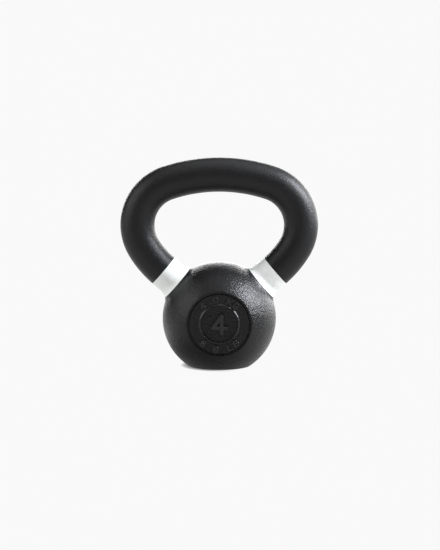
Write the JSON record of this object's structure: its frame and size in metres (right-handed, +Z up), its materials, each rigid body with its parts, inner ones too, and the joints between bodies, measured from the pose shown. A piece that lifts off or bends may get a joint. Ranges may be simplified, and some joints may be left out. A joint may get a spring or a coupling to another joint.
{
  "type": "kettlebell",
  "caption": "Cast-iron kettlebell: a ball with a flat base and a round marked face, under a wide looped handle, with a painted band round each horn.",
  "frame": {"origin": "centre of the flat base, straight below the ball's centre", "axes": "+Z up out of the base, towards the crown of the handle; +X across the handle, towards the right horn seen from the front; -Y towards the marked face"},
  "size_m": [0.1594, 0.085, 0.1686],
  "materials": {
    "iron": "matte",
    "black_coat": "matte",
    "white_band": "satin",
    "raised_marking": "matte"
  },
  "bodies": {
    "root": {"ball_casting": "iron", "handle_casting": "iron", "ball_coat": "black_coat", "base_coat": "black_coat", "grip_coat": "black_coat", "left_band": "white_band", "right_band": "white_band", "numeral_ring": "raised_marking", "weight_numeral": "raised_marking", "upper_marking": "raised_marking", "lower_marking": "raised_marking"}
  },
  "joints": []
}
